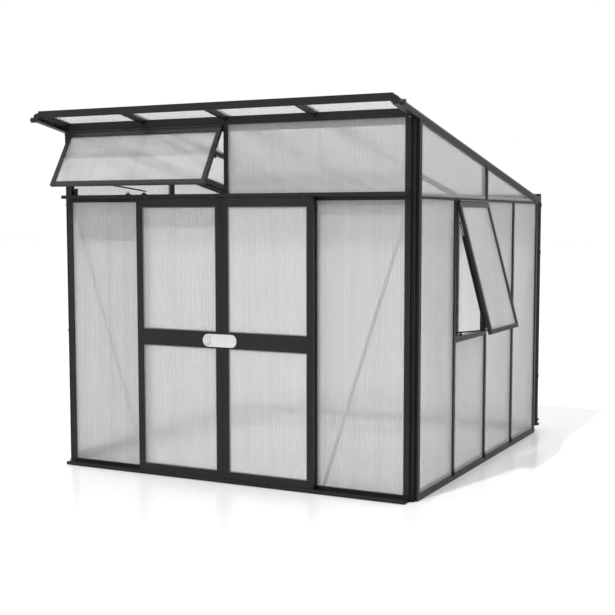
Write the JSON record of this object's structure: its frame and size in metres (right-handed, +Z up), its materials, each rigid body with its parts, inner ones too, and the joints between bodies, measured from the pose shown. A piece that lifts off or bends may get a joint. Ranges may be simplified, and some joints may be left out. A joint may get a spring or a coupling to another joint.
{
  "type": "greenhouse",
  "caption": "Walk-in greenhouse with a single-pitch roof, dark frame, translucent sheets, sliding double doors, a propped front vent, a side window, a gutter and a downpipe.",
  "frame": {"origin": "centre of the wall footprint on the ground, midway between the four anchor holes", "axes": "+Z up, the doors face -Y, +X to the right seen from the doors"},
  "size_m": [2.7929, 2.8899, 2.3327],
  "materials": {
    "frame": "satin anthracite powder coat",
    "glazing": "translucent fluted",
    "fittings": "matte black",
    "bare_metal": "mill",
    "latch": "white"
  },
  "bodies": {
    "frame": {"base_rail_front": "frame", "base_rail_back": "frame", "base_rail_left": "frame", "base_rail_right": "frame", "corner_posts_front": "frame", "corner_posts_back": "frame", "front_rail": "frame", "front_top_plate": "frame", "front_mid_post": "frame", "door_jambs": "frame", "side_rails": "frame", "back_top_plate": "frame", "side_wall_bars": "frame", "back_wall_bars": "frame", "gable_posts": "frame", "verges": "frame", "rafters": "frame", "eave_fascia": "frame", "roof_panels": "glazing", "gutter": "frame", "gutter_end_caps": "frame", "downpipe": "frame", "downpipe_collars": "frame", "downpipe_clips": "frame", "front_panels": "glazing", "clerestory_panel": "glazing", "left_wall_panels": "glazing", "right_wall_panels": "glazing", "back_wall_panels": "glazing", "gable_panels": "glazing", "corner_braces": "bare_metal", "door_top_track": "frame", "door_bottom_track": "frame", "track_end_stops": "fittings", "window_sill_rail": "frame", "vent_hinge_rail": "frame", "window_hinge_rail": "frame", "vent_pegs": "fittings", "window_pegs": "fittings"},
    "left_door": {"left_door_frame": "frame", "left_door_panels": "glazing", "left_door_hangers": "bare_metal", "left_door_guides": "fittings", "latch_knob": "latch"},
    "right_door": {"right_door_frame": "frame", "right_door_panels": "glazing", "right_door_hangers": "bare_metal", "right_door_guides": "fittings"},
    "left_roller_outer": {"left_roller_outer": "fittings"},
    "left_roller_inner": {"left_roller_inner": "fittings"},
    "right_roller_inner": {"right_roller_inner": "fittings"},
    "right_roller_outer": {"right_roller_outer": "fittings"},
    "latch": {"latch_plate": "latch"},
    "vent": {"vent_sash_frame": "frame", "vent_sash_panel": "glazing"},
    "vent_stay": {"vent_stay": "fittings"},
    "window": {"window_sash_frame": "frame", "window_sash_panel": "glazing", "window_lift_rod": "fittings"},
    "window_stay": {"window_stay": "fittings"}
  },
  "joints": [
    {"name": "left_door_slide", "type": "slide", "parent": "frame", "child": "left_door", "axis": [-1, 0, 0], "range_m": [0, 0.55]},
    {"name": "right_door_slide", "type": "slide", "parent": "frame", "child": "right_door", "axis": [1, 0, 0], "range_m": [0, 0.55]},
    {"name": "left_roller_outer_turn", "type": "hinge", "parent": "left_door", "child": "left_roller_outer", "pos_m": [-0.566, -1.319, 1.7886], "axis": [0, 1, 0], "range_deg": [-3950, 10]},
    {"name": "left_roller_inner_turn", "type": "hinge", "parent": "left_door", "child": "left_roller_inner", "pos_m": [-0.0665, -1.319, 1.7886], "axis": [0, 1, 0], "range_deg": [-3950, 10]},
    {"name": "right_roller_inner_turn", "type": "hinge", "parent": "right_door", "child": "right_roller_inner", "pos_m": [0.0665, -1.319, 1.7886], "axis": [0, 1, 0], "range_deg": [-10, 3950]},
    {"name": "right_roller_outer_turn", "type": "hinge", "parent": "right_door", "child": "right_roller_outer", "pos_m": [0.566, -1.319, 1.7886], "axis": [0, 1, 0], "range_deg": [-10, 3950]},
    {"name": "latch_turn", "type": "hinge", "parent": "left_door", "child": "latch", "pos_m": [-0.101, -1.3255, 0.894], "axis": [0, 1, 0], "range_deg": [-60, 90]},
    {"name": "vent_hinge", "type": "hinge", "parent": "frame", "child": "vent", "pos_m": [-0.602, -1.277, 2.213], "axis": [-1, 0, 0], "range_deg": [-31, 0]},
    {"name": "vent_stay_swing", "type": "hinge", "parent": "vent", "child": "vent_stay", "pos_m": [-0.737, -1.44907, 1.8579], "axis": [0.0615, 0.1225, 0.9906], "range_deg": [-45, 25]},
    {"name": "window_hinge", "type": "hinge", "parent": "frame", "child": "window", "pos_m": [1.277, -0.305, 1.757], "axis": [0, -1, 0], "range_deg": [-15, 0]},
    {"name": "window_stay_swing", "type": "hinge", "parent": "window", "child": "window_stay", "pos_m": [1.45866, -0.305, 0.94226], "axis": [-0.0333, -0.0344, 0.9989], "range_deg": [-25, 45]}
  ],
  "couplings": [
    {"joint": "left_roller_outer_turn", "follows": "left_door_slide", "rad_per_m": -125},
    {"joint": "left_roller_inner_turn", "follows": "left_door_slide", "rad_per_m": -125},
    {"joint": "right_roller_inner_turn", "follows": "right_door_slide", "rad_per_m": 125},
    {"joint": "right_roller_outer_turn", "follows": "right_door_slide", "rad_per_m": 125}
  ]
}
